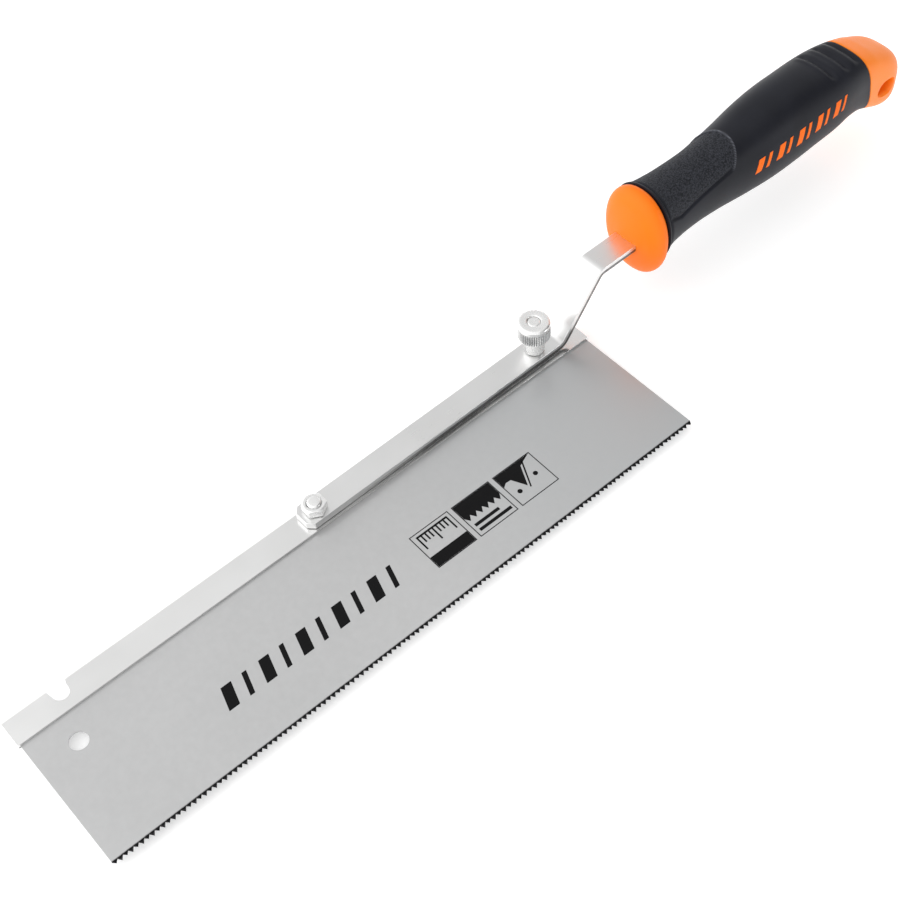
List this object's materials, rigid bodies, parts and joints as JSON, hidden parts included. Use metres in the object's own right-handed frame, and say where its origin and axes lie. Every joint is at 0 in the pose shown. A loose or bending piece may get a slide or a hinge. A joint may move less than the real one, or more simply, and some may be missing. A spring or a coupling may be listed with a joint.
{
  "type": "back saw",
  "caption": "Offset back saw: fine-toothed blade under a folded steel back, cranked strap and soft-grip handle that swings end to end and locks with a thumb nut.",
  "frame": {"origin": "on the blade's flat underside, halfway along the tooth line and 27 mm below the back's front edge", "axes": "+X along the blade from the toe to the handle, +Y from the teeth to the back, +Z from the flat underside up to the side the handle is offset to"},
  "size_m": [0.4278, 0.0795, 0.0552],
  "materials": {
    "blade_steel": "satin ground sheet, teeth dark from hardening",
    "back_steel": "bright plated sheet",
    "plated_screw": "bright zinc",
    "plated_nut": "bright zinc",
    "plated_strap": "bright zinc, near mirror",
    "plated_stud": "bright zinc",
    "plated_thumb_nut": "bright zinc, knurled rim",
    "collar_plastic": "satin orange moulding",
    "core_plastic": "satin orange moulding",
    "grip_rubber": "soft charcoal overmould with a grained thumb pad",
    "cap_plastic": "satin orange moulding"
  },
  "bodies": {
    "blade_unit": {"saw_blade": "blade_steel", "spine_back": "back_steel", "pivot_bolt": "plated_screw", "pivot_nut": "plated_nut"},
    "handle_unit": {"offset_strap": "plated_strap", "front_collar": "collar_plastic", "handle_core": "core_plastic", "grip_sleeve": "grip_rubber", "rear_cap": "cap_plastic"},
    "thumb_nut": {"thumb_nut": "plated_thumb_nut"},
    "lock_stud": {"lock_stud": "plated_stud"}
  },
  "joints": [
    {"name": "handle_swing", "type": "hinge", "parent": "blade_unit", "child": "handle_unit", "pos_m": [0, 0.033, 0], "axis": [0, 0, 1], "range_deg": [0, 178.58]},
    {"name": "thumb_nut_turn", "type": "hinge", "parent": "handle_unit", "child": "thumb_nut", "pos_m": [0.10499, 0.0343, 0], "axis": [0, 0, 1], "range_deg": [0, 720]},
    {"name": "lock_stud_slide", "type": "slide", "parent": "handle_unit", "child": "lock_stud", "axis": [0, 0, 1], "range_m": [-0.0017, 0]}
  ],
  "couplings": [
    {"joint": "lock_stud_slide", "follows": "thumb_nut_turn", "m_per_rad": -0.00012732}
  ]
}
